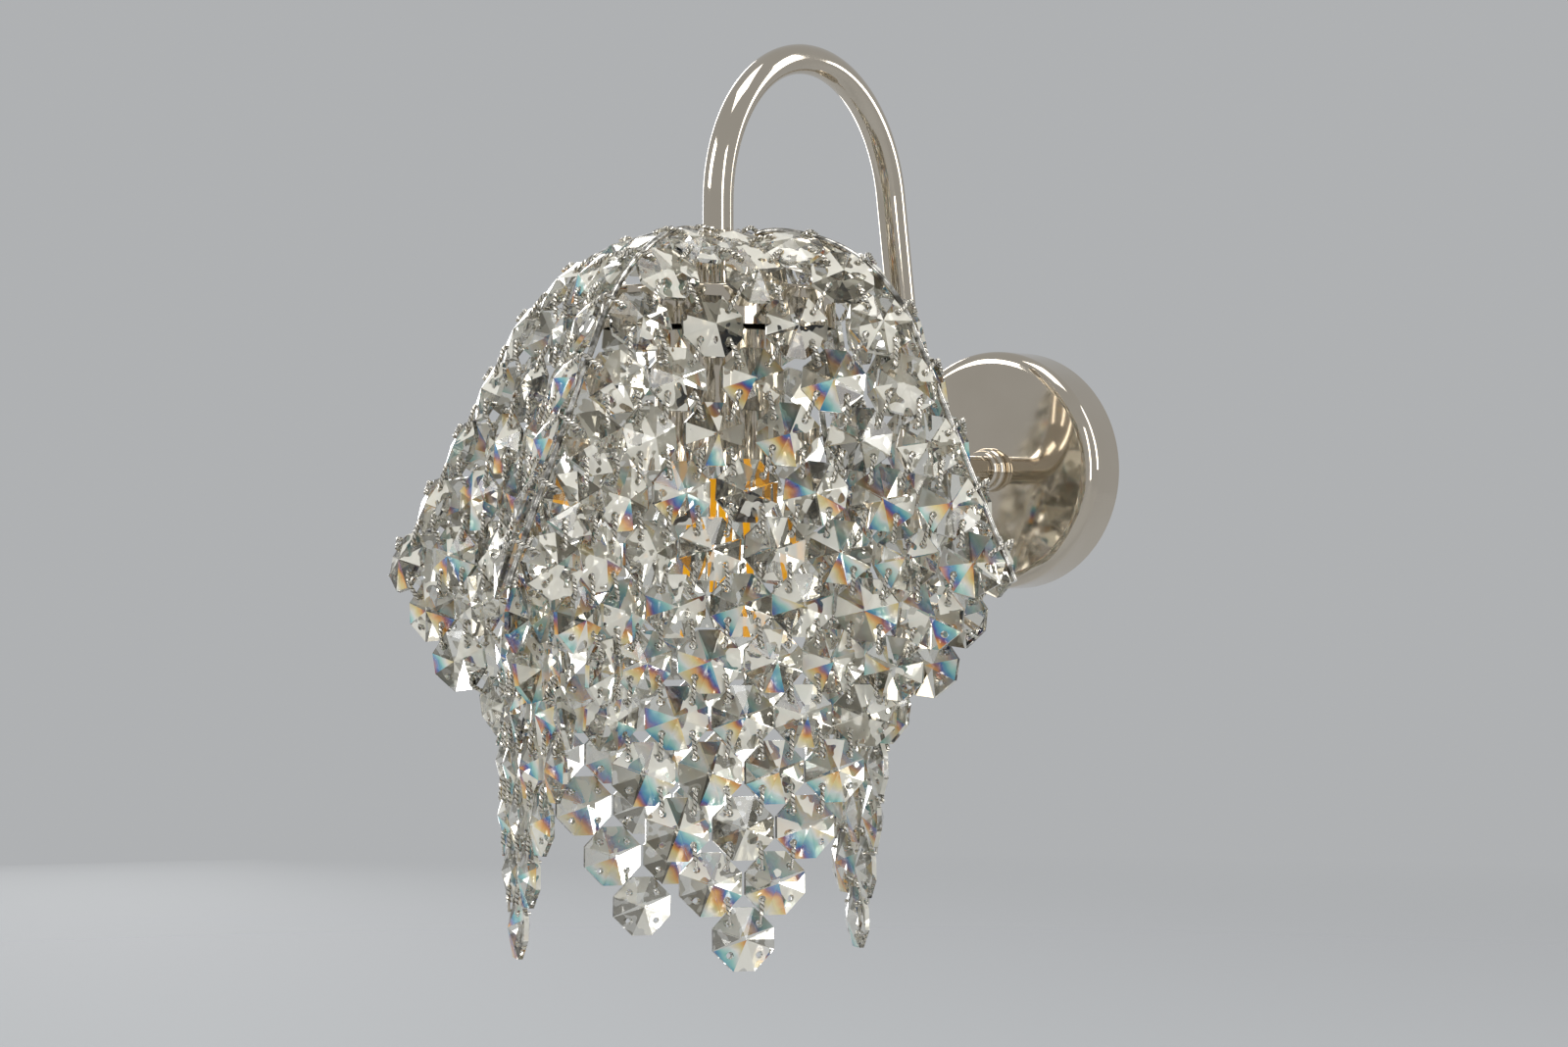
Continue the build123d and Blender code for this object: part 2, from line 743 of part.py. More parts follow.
with BuildPart() as bulb_cap:
    with BuildSketch(at_axis(cap_bottom_z)):
        Circle(cap_radius)
    extrude(amount=cap_length - 1.5)
    with BuildSketch(at_axis(cap_top_z - 1.5)):
        Circle(cap_radius)
    with BuildSketch(at_axis(cap_top_z)):
        Circle(cap_radius - 2.0)
    loft()
    with BuildSketch(at_axis(cap_bottom_z)):
        Circle(cap_radius - cap_wall)
    extrude(amount=cap_length - 1.5 - cap_wall, mode=Mode.SUBTRACT)

with BuildPart() as bulb_insulator:
    with BuildSketch(at_axis(cap_top_z)):
        Circle(cap_radius - 2.2)
    with BuildSketch(at_axis(cap_top_z + insulator_length)):
        Circle(insulator_top_radius)
    loft()

with BuildPart() as bulb_tip:
    with BuildSketch(at_axis(cap_top_z + insulator_length)):
        Circle(tip_radius)
    extrude(amount=tip_length)
    fillet(bulb_tip.edges().group_by(Axis.Z)[-1], radius=tip_length * 0.6)

stem_flare_radius = neck_grip_radius - glass_wall

with BuildPart() as bulb_stem:
    with BuildSketch(at_axis(cap_bottom_z + 2.0)):
        Circle(stem_flare_radius)
    extrude(amount=stem_seat)
    with BuildSketch(at_axis(cap_bottom_z + 2.0)):
        Circle(stem_flare_radius)
    with BuildSketch(at_axis(cap_bottom_z - 9.0)):
        Circle(stem_radius)
    loft()
    with BuildSketch(at_axis(cap_bottom_z - 9.0)):
        Circle(stem_radius)
    extrude(amount=9.0 - stem_length)


def filament_ends(index):
    """Top and bottom of one filament, which leans out from the stem."""
    angle = math.radians(filament_turn + 360 / filament_count * index)
    spread = filament_circle_bottom - filament_circle_top
    height = math.sqrt(filament_length**2 - spread**2)
    top_z = cap_bottom_z - filament_top
    direction = Vector(math.cos(angle), math.sin(angle), 0)
    middle = Vector(0, axis_y, 0)
    top = middle + direction * filament_circle_top + Vector(0, 0, top_z)
    bottom = middle + direction * filament_circle_bottom + Vector(0, 0, top_z - height)
    return top, bottom, direction


with BuildPart() as bulb_filaments:
    for index in range(filament_count):
        top, bottom, direction = filament_ends(index)
        with BuildSketch(Plane(origin=bottom, z_dir=top - bottom)):
            Circle(filament_radius)
        extrude(amount=filament_length)


def support_wire(start, end):
    """A thin straight wire."""
    with BuildPart() as wire:
        with BuildSketch(Plane(origin=start, z_dir=end - start)):
            Circle(support_wire_radius)
        extrude(amount=(end - start).length)
    return wire.part


support_wires = []
for index in range(filament_count):
    top, bottom, direction = filament_ends(index)
    stem_side = direction * stem_radius
    axis_at = Vector(0, axis_y, 0)
    upper_start = axis_at + stem_side + Vector(0, 0, cap_bottom_z - 10.5)
    lower_start = axis_at + stem_side + Vector(0, 0, cap_bottom_z - stem_length + 1.0)
    lean_out = (bottom - top).normalized()
    support_wires.append(support_wire(upper_start, top - lean_out * support_wire_radius))
    support_wires.append(support_wire(lower_start, bottom + lean_out * support_wire_radius))

with BuildPart() as bulb_support_wires:
    add(support_wires)

# ---------------------------------------------------------------- wire frame
def rise_point(share, quarter):
    """Point on the straight run of a rib's axis out of the hub, from its end to its bend."""
    run = (rib_rise_start_r - rib_inner_radius) * share
    return place_point(rib_inner_radius + run, 0.0, hub_z + run * math.tan(rib_rise), quarter)


with BuildPart() as frame_hub:
    with BuildSketch(at_axis(tube_end_z)):
        Circle(hub_sleeve_radius)
    extrude(amount=hub_z - tube_end_z)
    with BuildSketch(at_axis(hub_z - hub_height / 2)):
        Circle(hub_radius)
    extrude(amount=hub_height)
    fillet(frame_hub.edges().group_by(Axis.Z)[-1], radius=0.8)
    with BuildSketch(at_axis(tube_end_z)):
        Circle(tube_radius + running_gap)
    extrude(amount=hub_z + hub_height - tube_end_z, mode=Mode.SUBTRACT)
    for quarter in range(4):
        start, outer = (rise_point(share, quarter) for share in (0.0, 0.6))
        with BuildSketch(Plane(origin=start, z_dir=outer - start)):
            Circle(rib_radius + thread_gap)
        extrude(amount=hub_radius, mode=Mode.SUBTRACT)
    with BuildSketch(Plane(origin=(0, axis_y, (tube_end_z + hub_z) / 2 - 1.0), z_dir=(-1, 0, 0))):
        Circle(hub_screw_diameter / 2 + thread_gap)
    extrude(amount=hub_radius, mode=Mode.SUBTRACT)

with BuildPart() as hub_screw:
    screw_start = tube_radius + running_gap
    with BuildSketch(
        Plane(origin=(-screw_start, axis_y, (tube_end_z + hub_z) / 2 - 1.0), z_dir=(-1, 0, 0))
    ):
        Circle(hub_screw_diameter / 2)
    extrude(amount=hub_radius - screw_start)


def make_rib(quarter):
    """One rib: a wire that climbs out of the hub, bends over and runs straight to its tip."""
    drop = math.radians(ridge_bend_angle)
    bend_radius = ridge_bend_radius - rib_sink
    bend_end_r = ridge_flat + bend_radius * math.sin(drop)
    bend_end_z = rib_flat_z - bend_radius * (1 - math.cos(drop))
    route = []
    for share in (1.0, 0.5):
        angle = rib_rise * share
        r = ridge_flat - rib_rise_radius * math.sin(angle)
        route.append((r, rib_flat_z - rib_rise_radius * (1 - math.cos(angle))))
    for share in (0.0, 0.17, 0.33, 0.5, 0.67, 0.83, 1.0):
        angle = drop * share
        r = ridge_flat + bend_radius * math.sin(angle)
        route.append((r, rib_flat_z - bend_radius * (1 - math.cos(angle))))
    for share in (0.25, 0.5, 0.75, 1.0):
        run = ridge_leg * share
        route.append((bend_end_r + run * math.cos(drop), bend_end_z - run * math.sin(drop)))
    spots = [rise_point(share, quarter) for share in (0.0, 0.3, 0.6, 0.8)]
    spots += [place_point(r, 0.0, z, quarter) for r, z in route]
    with BuildPart() as rib:
        with BuildLine():
            Spline(*spots)
        with BuildSketch(Plane(origin=spots[0], z_dir=spots[1] - spots[0])):
            Circle(rib_radius)
        sweep()
    return rib.part


with BuildPart() as frame_ribs:
    add([make_rib(quarter) for quarter in range(4)])

# ---------------------------------------------------------------- crystals
with BuildPart() as crystal:
    corner = (crystal_across - crystal_flat) / 2
    with BuildSketch(Plane.XY.offset(-crystal_girdle / 2)) as outline:
        Rectangle(crystal_across, crystal_across)
        chamfer(outline.vertices(), length=corner)
    extrude(amount=crystal_girdle)
    for side in (1, -1):
        with BuildSketch(Plane.XY.offset(side * crystal_girdle / 2)) as rim:
            Rectangle(crystal_across, crystal_across)
            chamfer(rim.vertices(), length=corner)
        loft([rim.sketch, Vertex(0, 0, side * crystal_thickness / 2)], ruled=True)
    flare_depth = hole_half_thickness + 0.4
    with PolarLocations(hole_circle, 4, start_angle=45):
        Cone(
            hole_throat / 2,
            hole_mouth / 2,
            flare_depth,
            align=(Align.CENTER, Align.CENTER, Align.MIN),
            mode=Mode.SUBTRACT,
        )
        Cone(
            hole_mouth / 2,
            hole_throat / 2,
            flare_depth,
            align=(Align.CENTER, Align.CENTER, Align.MAX),
            mode=Mode.SUBTRACT,
        )


def crystal_group(quarter, first_row, last_row):
    """Places of the crystals of some rows of a quarter."""
    return [crystal_plane(quarter, a, b).location for a, b in quarter_cells(first_row, last_row)]


def write_part(part, name):
    """Label a piece and write it to its own file."""
    part.label = name
    export_step(part, "parts/" + name + ".step")


for quarter, quarter_name in enumerate(quarter_names):
    with BuildPart() as dome_crystals:
        with Locations(*crystal_group(quarter, 1, skirt_row)):
            add(crystal.part)
    write_part(dome_crystals.part, "dome_crystals_" + quarter_name)

    with BuildPart() as skirt_crystals:
        with Locations(*crystal_group(quarter, skirt_row + 1, pivot_row)):
            add(crystal.part)
    write_part(skirt_crystals.part, "skirt_crystals_" + quarter_name)

    with BuildPart() as drop_crystals:
        with Locations(*crystal_group(quarter, pivot_row + 1, pivot_row + 1)):
            add(crystal.part)
    write_part(drop_crystals.part, "drop_crystals_" + quarter_name)

    with BuildPart() as tip_crystal:
        with Locations(*crystal_group(quarter, pivot_row + 2, 2 * side_rows - 1)):
            add(crystal.part)
    write_part(tip_crystal.part, "tip_crystal_" + quarter_name)

    with BuildPart() as net_clips:
        add([make_clip(wire) for wire in quarter_wires(quarter, 1, pivot_row)])
    write_part(net_clips.part, "net_clips_" + quarter_name)

    with BuildPart() as drop_clips:
        add([make_clip(wire) for wire in quarter_wires(quarter, pivot_row + 1, pivot_row + 1)])
    write_part(drop_clips.part, "drop_clips_" + quarter_name)

with BuildPart() as rib_clips:
    add([make_clip(ridge_wire(quarter, k)) for quarter in range(4) for k in range(side_rows)])

# ---------------------------------------------------------------- files
named_parts = {
    "wall_plate": wall_plate,
    "wall_bracket": wall_bracket,
    "plate_grub_screws": plate_grub_screws,
    "earth_screw": earth_screw,
    "terminal_block": terminal_block,
    "terminal_sleeves": terminal_sleeves,
    "arm_tube": arm_tube,
    "arm_collar": arm_collar,
    "plate_nipple": plate_nipple,
    "plate_washer": plate_washer,
    "plate_nut": plate_nut,
    "inner_cable": inner_cable,
    "lamp_nipple": lamp_nipple,
    "lamp_washer": lamp_washer,
    "lamp_nut": lamp_nut,
    "drum_plate": drum_plate,
    "holder_cup": holder_cup,
    "lampholder_body": lampholder_body,
    "holder_screw_shell": holder_screw_shell,
    "holder_contact_disc": holder_contact_disc,
    "holder_centre_contact": holder_centre_contact,
    "bulb_glass": bulb_glass,
    "bulb_cap": bulb_cap,
    "bulb_insulator": bulb_insulator,
    "bulb_tip": bulb_tip,
    "bulb_stem": bulb_stem,
    "bulb_filaments": bulb_filaments,
    "bulb_support_wires": bulb_support_wires,
    "frame_hub": frame_hub,
    "hub_screw": hub_screw,
    "frame_ribs": frame_ribs,
    "rib_clips": rib_clips,
}
for name, builder in named_parts.items():
    write_part(builder.part, name)
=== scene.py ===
"""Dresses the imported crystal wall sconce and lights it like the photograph.

The CAD nodes keep their shapes. This script gives every node its finish, twists a second
strand round every clip, and sets up a pale studio with the camera at the photograph's angle.
"""

from __future__ import annotations

import json
import logging
import math
from dataclasses import dataclass
from enum import Enum
from typing import ClassVar, Iterable

import bpy
from mathutils import Matrix, Vector

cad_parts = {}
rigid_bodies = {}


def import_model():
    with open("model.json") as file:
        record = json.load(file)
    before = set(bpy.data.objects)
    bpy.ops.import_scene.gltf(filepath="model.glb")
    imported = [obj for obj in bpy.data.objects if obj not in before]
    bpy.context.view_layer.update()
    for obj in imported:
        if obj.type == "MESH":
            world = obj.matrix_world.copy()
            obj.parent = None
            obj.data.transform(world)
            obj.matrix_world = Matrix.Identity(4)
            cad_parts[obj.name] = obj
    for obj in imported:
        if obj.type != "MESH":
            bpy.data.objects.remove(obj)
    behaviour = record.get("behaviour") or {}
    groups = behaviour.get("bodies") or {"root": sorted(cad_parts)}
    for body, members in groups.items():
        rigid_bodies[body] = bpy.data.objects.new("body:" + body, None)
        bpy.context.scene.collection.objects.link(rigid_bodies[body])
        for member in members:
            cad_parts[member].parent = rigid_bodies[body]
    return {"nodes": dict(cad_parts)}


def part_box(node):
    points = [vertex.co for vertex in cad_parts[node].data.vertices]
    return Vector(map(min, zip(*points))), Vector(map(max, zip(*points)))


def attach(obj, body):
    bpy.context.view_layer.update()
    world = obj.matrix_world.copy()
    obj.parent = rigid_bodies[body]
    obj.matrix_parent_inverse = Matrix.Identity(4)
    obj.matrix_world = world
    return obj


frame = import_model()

LOG = logging.getLogger("sconce")
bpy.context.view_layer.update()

FIXED_BODY = "fixture"
MM_PER_METRE = 1000.0
MICRONS_PER_METRE = 1e6

Triple = tuple[float, float, float]
Colour = Triple
Box = tuple[Vector, Vector]


class Quarter(Enum):
    """Quarters of the net, named by where they hang as seen from the room."""

    FRONT_RIGHT = "front_right"
    BACK_RIGHT = "back_right"
    BACK_LEFT = "back_left"
    FRONT_LEFT = "front_left"


class Wire:
    """An output socket that can be used in arithmetic."""

    def __init__(self, recipe: Recipe, socket: bpy.types.NodeSocket) -> None:
        """Keeps the socket and the recipe whose tree it belongs to."""
        self.recipe = recipe
        self.socket = socket

    def math(self, operation: str, *others: Wire | float, swap: bool = False) -> Wire:
        """Adds a Math node.

        Args:
            operation: The Math node's operation.
            others: The further operands.
            swap: Whether this wire is the second operand.

        Returns:
            The result's wire.
        """
        operands = [self, *others]
        if swap:
            operands.reverse()
        values = dict(enumerate(operands))
        return self.recipe.wire("ShaderNodeMath", {"operation": operation}, values)

    def __add__(self, other: Wire | float) -> Wire:
        """Sum."""
        return self.math("ADD", other)

    def __radd__(self, other: float) -> Wire:
        """Sum with a number in front."""
        return self.math("ADD", other)

    def __sub__(self, other: Wire | float) -> Wire:
        """Difference."""
        return self.math("SUBTRACT", other)

    def __rsub__(self, other: float) -> Wire:
        """Difference from a number."""
        return self.math("SUBTRACT", other, swap=True)

    def __mul__(self, other: Wire | float) -> Wire:
        """Product."""
        return self.math("MULTIPLY", other)

    def __rmul__(self, other: float) -> Wire:
        """Product with a number in front."""
        return self.math("MULTIPLY", other)

    def above(self, limit: float) -> Wire:
        """One where the value is above a limit, and nought elsewhere."""
        return self.math("GREATER_THAN", limit)


class Recipe:
    """Builds one material's node tree."""

    def __init__(self, name: str) -> None:
        """Starts an empty material with an output.

        Args:
            name: The material's name.
        """
        self.material = bpy.data.materials.new(name)
        self.material.use_nodes = True
        self.tree = self.material.node_tree
        self.tree.nodes.clear()
        self.output = self.tree.nodes.new("ShaderNodeOutputMaterial")

    def node(
        self,
        kind: str,
        settings: dict[str, object] | None = None,
        values: dict[str | int, object] | None = None,
    ) -> bpy.types.Node:
        """Adds a node.

        Args:
            kind: The node's type.
            settings: Its own settings; "stops" holds a colour ramp's stops.
            values: Numbers, colours or wires for its sockets, by name or number.

        Returns:
            The node.
        """
        made = self.tree.nodes.new(kind)
        for key, value in (settings or {}).items():
            if key == "stops":
                ramp = made.color_ramp
                while len(ramp.elements) < len(value):
                    ramp.elements.new(1.0)
                for element, (place, colour) in zip(ramp.elements, value):
                    element.position = place
                    element.color = (*colour, 1.0)
            else:
                setattr(made, key, value)
        for key, value in (values or {}).items():
            if isinstance(value, Wire):
                self.tree.links.new(value.socket, made.inputs[key])
            elif isinstance(value, tuple) and made.inputs[key].type == "RGBA":
                made.inputs[key].default_value = (*value, 1.0)
            else:
                made.inputs[key].default_value = value
        return made

    def wire(
        self,
        kind: str,
        settings: dict[str, object] | None = None,
        values: dict[str | int, object] | None = None,
        output: str | int = 0,
    ) -> Wire:
        """Adds a node and returns one of its outputs."""
        return Wire(self, self.node(kind, settings, values).outputs[output])

    def place(self) -> Wire:
        """The piece's object coordinates, in metres."""
        return self.wire("ShaderNodeTexCoord", output="Object")

    def noise(self, scale: float, detail: float = 2.0) -> Wire:
        """A soft noise over the piece, from nought to one."""
        values = {"Vector": self.place(), "Scale": scale, "Detail": detail}
        return self.wire("ShaderNodeTexNoise", None, values, "Fac")

    def blend(self, share: Wire, first: Colour | Wire, second: Colour | Wire) -> Wire:
        """A colour between two colours."""
        made = self.node("ShaderNodeMix", {"data_type": "RGBA"}, {0: share})
        for socket, colour in ((made.inputs[6], first), (made.inputs[7], second)):
            if isinstance(colour, Wire):
                self.tree.links.new(colour.socket, socket)
            else:
                socket.default_value = (*colour, 1.0)
        return Wire(self, made.outputs[2])

    def bump(self, height: Wire, strength: float, distance: float) -> Wire:
        """A bumped normal."""
        values = {"Height": height, "Strength": strength, "Distance": distance}
        return self.wire("ShaderNodeBump", None, values)

    def finish(self, shader: Wire) -> bpy.types.Material:
        """Links the last shader to the output and returns the material."""
        self.tree.links.new(shader.socket, self.output.inputs["Surface"])
        return self.material


@dataclass(frozen=True)
class Metal:
    """A polished or satin metal with faint cloudy wear; turned up to a high contrast, the clouds
    are painted reflection.
    """

    name: str
    tone: Colour
    shade: Colour
    roughness: float
    cloud: float = 0.05
    cloud_scale: float = 60.0
    grain: float = 0.0
    painted_reflection_contrast: float = 1.0
    cloud_detail: float = 4.0
    grain_fineness: float = 22.0
    grain_depth: float = 0.0002

    def material(self) -> bpy.types.Material:
        """Builds the material."""
        recipe = Recipe(self.name)
        # Cloudy tone: random wear on most metals; at a high contrast, as on the ribs, painted
        # reflection of the crystals.
        wear_and_painted_reflection = 0.5 + (recipe.noise(self.cloud_scale, self.cloud_detail) - 0.5) * self.painted_reflection_contrast
        values = {
            "Base Color": recipe.blend(wear_and_painted_reflection, self.tone, self.shade),
            "Metallic": 1.0,
            "Roughness": self.roughness + self.cloud * wear_and_painted_reflection,
        }
        if self.grain:
            fine = recipe.noise(self.cloud_scale * self.grain_fineness)
            values["Normal"] = recipe.bump(fine, self.grain, self.grain_depth)
        return recipe.finish(recipe.wire("ShaderNodeBsdfPrincipled", None, values))


@dataclass(frozen=True)
class Moulded:
    """A plastic, ceramic or coating with a fine orange-peel skin, and a painted glow in its own
    colour where one is set.
    """

    name: str
    tone: Colour
    shade: Colour
    roughness: float = 0.45
    peel: float = 0.08
    peel_scale: float = 1800.0
    painted_glow: float = 0.0
    mottle_scale: float = 140.0
    mottle_detail: float = 3.0
    wear_scale: float = 320.0
    wear: float = 0.08
    peel_depth: float = 0.0001

    def material(self) -> bpy.types.Material:
        """Builds the material."""
        recipe = Recipe(self.name)
        mottle = recipe.noise(self.mottle_scale, self.mottle_detail)
        colour = recipe.blend(mottle, self.tone, self.shade)
        values = {
            "Base Color": colour,
            "Roughness": self.roughness + self.wear * recipe.noise(self.wear_scale),
            "Normal": recipe.bump(recipe.noise(self.peel_scale), self.peel, self.peel_depth),
        }
        # Painted glow: the part shines in its own colour though it is no lamp.
        if self.painted_glow:
            values["Emission Color"] = colour
            values["Emission Strength"] = self.painted_glow
        return recipe.finish(recipe.wire("ShaderNodeBsdfPrincipled", None, values))


@dataclass(frozen=True)
class ClearGlass:
    """Thin clear blown glass."""

    name: str
    tint: Colour = (0.97, 0.98, 0.98)
    white: Colour = (1.0, 1.0, 1.0)
    roughness: float = 0.0
    haze_scale: float = 90.0
    haze_roughness: float = 0.01

    def material(self) -> bpy.types.Material:
        """Builds the material."""
        recipe = Recipe(self.name)
        haze = recipe.noise(self.haze_scale)
        glass = recipe.wire(
            "ShaderNodeBsdfPrincipled",
            None,
            {
                "Base Color": recipe.blend(haze, self.tint, self.white),
                "Roughness": self.roughness + self.haze_roughness * haze,
                "IOR": 1.12,
                "Transmission Weight": 1.0,
                "Specular IOR Level": 0.9,
            },
        )
        return recipe.finish(glass)


@dataclass(frozen=True)
class CutCrystal:
    """Clear cut crystal whose facets carry painted shade, painted highlights and painted rainbow
    flashes in patches.

    Each facet is told apart by its own direction, so it keeps its painted tone in every view.
    """

    name: str = "cut_crystal"
    clear: Colour = (0.985, 0.965, 0.895)
    painted_shade: Colour = (0.18, 0.165, 0.13)
    painted_highlight: Colour = (1.0, 0.965, 0.85)
    painted_shade_share: float = 0.17
    painted_highlight_share: float = 0.38
    painted_highlight_cover: float = 0.66
    painted_rainbow_share: float = 0.12
    painted_rainbow_cover: float = 0.6
    direction_step: float = 0.14
    direction_shift: Triple = (0.053, 0.031, 0.044)
    second_shift: Triple = (7.3, 3.1, 9.7)
    patch_scale: float = 190.0
    patch_floor: float = 0.46
    band_run: Triple = (62.0, 23.0, 48.0)
    band_spread: float = 7.0
    band_waver: float = 0.4
    painted_flashes: tuple[tuple[float, Colour], ...] = (
        (0.0, (1.0, 0.97, 0.88)),
        (0.22, (1.0, 0.80, 0.30)),
        (0.36, (1.0, 0.42, 0.04)),
        (0.46, (0.45, 0.10, 0.10)),
        (0.56, (0.03, 0.10, 0.50)),
        (0.68, (0.04, 0.42, 0.62)),
        (0.80, (0.35, 0.80, 0.72)),
        (1.0, (0.97, 0.98, 0.93)),
    )

    def material(self) -> bpy.types.Material:
        """Builds the material."""
        recipe = Recipe(self.name)
        facing = recipe.wire("ShaderNodeNewGeometry", output="True Normal")
        turned = recipe.wire(
            "ShaderNodeVectorTransform",
            {"vector_type": "NORMAL", "convert_from": "WORLD", "convert_to": "OBJECT"},
            {0: facing},
        )
        off_zero = recipe.wire(
            "ShaderNodeVectorMath", {"operation": "ADD"}, {0: turned, 1: self.direction_shift}
        )
        step = (self.direction_step,) * 3
        facet = recipe.wire("ShaderNodeVectorMath", {"operation": "SNAP"}, {0: off_zero, 1: step})
        lot = recipe.wire("ShaderNodeTexWhiteNoise", {"noise_dimensions": "3D"}, {0: facet})
        shifted = recipe.wire(
            "ShaderNodeVectorMath", {"operation": "ADD"}, {0: facet, 1: self.second_shift}
        )
        second_lot = recipe.wire(
            "ShaderNodeTexWhiteNoise", {"noise_dimensions": "3D"}, {0: shifted}
        )
        grain = recipe.noise(self.patch_scale, 1.0)
        run = recipe.wire(
            "ShaderNodeVectorMath",
            {"operation": "DOT_PRODUCT"},
            {0: recipe.place(), 1: self.band_run},
            "Value",
        )
        # Painted rainbow flashes: bands of colour run across the chosen facets.
        band = (run + second_lot * self.band_spread + grain * self.band_waver).math("FRACT")
        painted_flash = recipe.wire("ShaderNodeValToRGB", {"stops": self.painted_flashes}, {0: band}, "Color")
        # Painted highlights sit, and painted shade is strongest, where the soft noise is high.
        painted_light_patch = grain.above(self.patch_floor)
        # Painted shade: facets picked by their direction get a dark tint in the glass, standing
        # for dark surroundings seen in them.
        is_painted_shade = (1.0 - lot.above(self.painted_shade_share)) * (0.5 + 0.5 * painted_light_patch)
        is_painted_highlight = lot.above(1.0 - self.painted_highlight_share) * painted_light_patch
        is_painted_rainbow = second_lot.above(1.0 - self.painted_rainbow_share)
        painted_light_cover = (is_painted_highlight * self.painted_highlight_cover).math("MAXIMUM", is_painted_rainbow * self.painted_rainbow_cover)
        glass = recipe.wire(
            "ShaderNodeBsdfPrincipled",
            None,
            {
                "Base Color": recipe.blend(is_painted_shade, self.clear, self.painted_shade),
                "Roughness": 0.0,
                "IOR": 1.55,
                "Transmission Weight": 1.0,
                "Specular IOR Level": 0.75,
            },
        )
        # An opaque glossy skin over the glass carries the painted highlights and painted rainbow
        # flashes.
        painted_light_skin = recipe.wire(
            "ShaderNodeBsdfPrincipled",
            None,
            {
                "Base Color": recipe.blend(is_painted_rainbow, self.painted_highlight, painted_flash),
                "Roughness": 0.1,
                "Coat Weight": 0.6,
            },
        )
        return recipe.finish(
            recipe.wire("ShaderNodeMixShader", None, {0: painted_light_cover, 1: glass, 2: painted_light_skin})
        )


@dataclass(frozen=True)
class TwistedWire:
    """Two fine silver strands wound tightly round each other, with painted shade in the grooves
    between them.
    """

    name: str = "twisted_wire"
    tone: Colour = (0.84, 0.80, 0.71)
    painted_groove_shade: Colour = (0.10, 0.085, 0.06)
    roughness: float = 0.2
    wear: float = 0.1
    wear_scale: float = 900.0
    pitch: float = 1.5
    strands: float = 2.0
    groove: float = 0.13
    relief: float = 0.7
    relief_depth: float = 0.0003

    def material(self) -> bpy.types.Material:
        """Builds the material. It reads the strand's own map: turns across, millimetres along."""
        recipe = Recipe(self.name)
        place = recipe.wire("ShaderNodeUVMap", {"uv_map": ClipTwist.map_name})
        split = recipe.node("ShaderNodeSeparateXYZ", None, {0: place})
        across, along = (Wire(recipe, split.outputs[n]) for n in (0, 1))
        height = (along * (1.0 / self.pitch) + across * self.strands).math("PINGPONG", 0.5)
        # Painted shade: the grooves between the strands are coloured dark.
        painted_shade = 1.0 - height.above(self.groove)
        return recipe.finish(
            recipe.wire(
                "ShaderNodeBsdfPrincipled",
                None,
                {
                    "Base Color": recipe.blend(painted_shade, self.tone, self.painted_groove_shade),
                    "Metallic": 1.0,
                    "Roughness": self.roughness + self.wear * recipe.noise(self.wear_scale),
                    "Normal": recipe.bump(height, self.relief, self.relief_depth),
                },
            )
        )


def deselect() -> None:
    """Deselects every object, in object mode."""
    if bpy.context.object is not None and bpy.context.object.mode != "OBJECT":
        bpy.ops.object.mode_set(mode="OBJECT")
    bpy.ops.object.select_all(action="DESELECT")


def dress(material: bpy.types.Material, names: Iterable[str]) -> None:
    """Puts one finish on CAD nodes.

    Args:
        material: The finish.
        names: The nodes.
    """
    for name in names:
        for slot in frame["nodes"][name].material_slots:
            slot.material = material


@dataclass
class WirePath:
    """The line of one clip's wire, read from its CAD solid."""

    points: list[Vector]

    def bars(self) -> list[tuple[Vector, Vector]]:
        """The straight bars on the outside of the net, between the two legs."""
        outer = self.points[1:-1]
        return list(zip(outer, outer[1:]))


class Groups:
    """Numbers that are put together in groups."""

    def __init__(self, count: int) -> None:
        """Starts with every number in a group of its own."""
        self.parent = list(range(count))

    def root(self, number: int) -> int:
        """The number that stands for a number's group."""
        while self.parent[number] != number:
            number = self.parent[number]
        return number

    def join(self, first: int, second: int) -> None:
        """Puts two numbers' groups together."""
        self.parent[self.root(second)] = self.root(first)


def read_paths(name: str, near: float = 0.00045) -> list[WirePath]:
    """Finds the line of every clip in a node from the rings of vertices at its bends.

    Args:
        name: The node.
        near: The most that two neighbours on a ring are apart.

    Returns:
        One path per clip.
    """
    mesh = frame["nodes"][name].data
    spots: dict[tuple[int, int, int], int] = {}
    index = [
        spots.setdefault(tuple(round(c * MICRONS_PER_METRE) for c in vertex.co), len(spots))
        for vertex in mesh.vertices
    ]
    rings = Groups(len(spots))
    edges = []
    for edge in mesh.edges:
        first, second = (mesh.vertices[i].co for i in edge.vertices)
        a, b = (index[i] for i in edge.vertices)
        length = (second - first).length
        edges.append((a, b, length, (first + second) / 2))
        if length < near and a != b:
            rings.join(a, b)
    weights: dict[int, float] = {}
    centres: dict[int, Vector] = {}
    beside: dict[int, set[int]] = {}
    for a, b, length, middle in edges:
        a, b = rings.root(a), rings.root(b)
        if a != b:
            beside.setdefault(a, set()).add(b)
            beside.setdefault(b, set()).add(a)
        elif length < near:
            weights[a] = weights.get(a, 0.0) + length
            centres[a] = centres.get(a, Vector()) + middle * length
    paths = []
    for ring in (r for r, others in beside.items() if len(others) == 1):
        chain = [ring]
        ahead = set(beside[ring])
        while ahead:
            chain.append(ahead.pop())
            ahead = beside[chain[-1]] - set(chain)
        if chain[0] < chain[-1]:
            paths.append(WirePath([centres[r] / weights[r] for r in chain]))
    return paths


